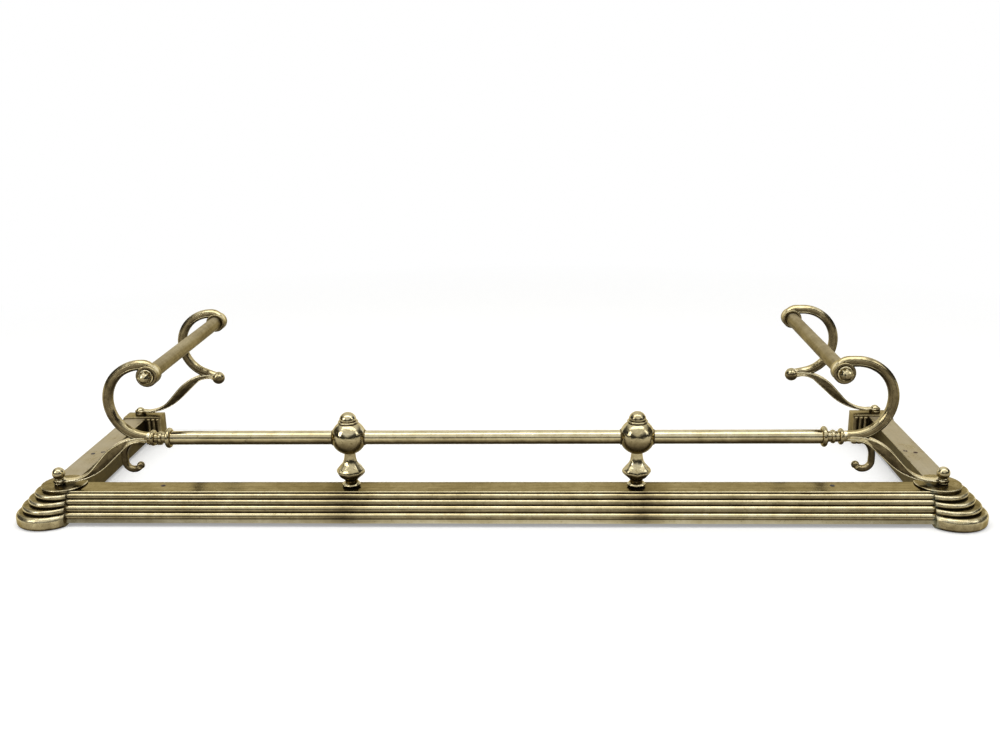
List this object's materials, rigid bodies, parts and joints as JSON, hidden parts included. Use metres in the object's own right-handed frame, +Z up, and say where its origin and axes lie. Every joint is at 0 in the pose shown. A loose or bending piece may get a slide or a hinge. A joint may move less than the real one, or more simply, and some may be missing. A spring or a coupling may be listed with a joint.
{
  "type": "fire fender",
  "caption": "Brass rail fender for a hearth: a stepped, reeded base on three sides, round stepped corners, flat scroll castings and a rail on ball-and-vase balusters.",
  "frame": {"origin": "middle of the footprint on the floor, halfway between the outer edges of the corner castings and halfway between their front and the back of the nuts behind the rear scrolls", "axes": "+X to the right along the front rail, +Y back towards the fire, +Z up"},
  "size_m": [1.37, 0.4, 0.2338],
  "materials": {
    "sheet_brass": "aged, worn bright on the reeds, brown in the grooves",
    "cast_brass": "aged cast brass, bright on its edges, brown in its hollows",
    "tube_brass": "drawn tube with fine lengthwise wear",
    "pale_brass": "dull pale brass tube",
    "iron": "bare wrought iron with a thin brown rust"
  },
  "bodies": {
    "root": {"front_moulding": "sheet_brass", "left_moulding": "sheet_brass", "right_moulding": "sheet_brass", "left_corner": "cast_brass", "right_corner": "cast_brass", "left_rear_block": "cast_brass", "right_rear_block": "cast_brass", "front_core": "iron", "left_core": "iron", "right_core": "iron", "left_corner_strap": "iron", "right_corner_strap": "iron", "left_front_scroll": "cast_brass", "right_front_scroll": "cast_brass", "left_rear_scroll": "cast_brass", "right_rear_scroll": "cast_brass", "left_rail_tube": "tube_brass", "middle_rail_tube": "tube_brass", "right_rail_tube": "tube_brass", "left_side_rail": "pale_brass", "right_side_rail": "pale_brass", "front_tie_rod": "iron", "left_side_tie_rod": "iron", "right_side_tie_rod": "iron", "left_collar": "cast_brass", "right_collar": "cast_brass", "left_ball": "cast_brass", "right_ball": "cast_brass", "ball_ferrules": "tube_brass", "left_finial": "cast_brass", "right_finial": "cast_brass", "left_vase": "cast_brass", "right_vase": "cast_brass", "left_foot_ring": "cast_brass", "right_foot_ring": "cast_brass", "left_stud": "iron", "right_stud": "iron", "left_corner_bolt": "cast_brass", "right_corner_bolt": "cast_brass", "corner_spacers": "cast_brass", "left_rear_bolt": "cast_brass", "right_rear_bolt": "cast_brass", "left_eye_nut": "cast_brass", "right_eye_nut": "cast_brass", "rear_eye_nuts": "iron", "hex_nuts": "iron", "washers": "iron", "ledge_screws": "iron", "strap_screws": "iron"}
  },
  "joints": []
}
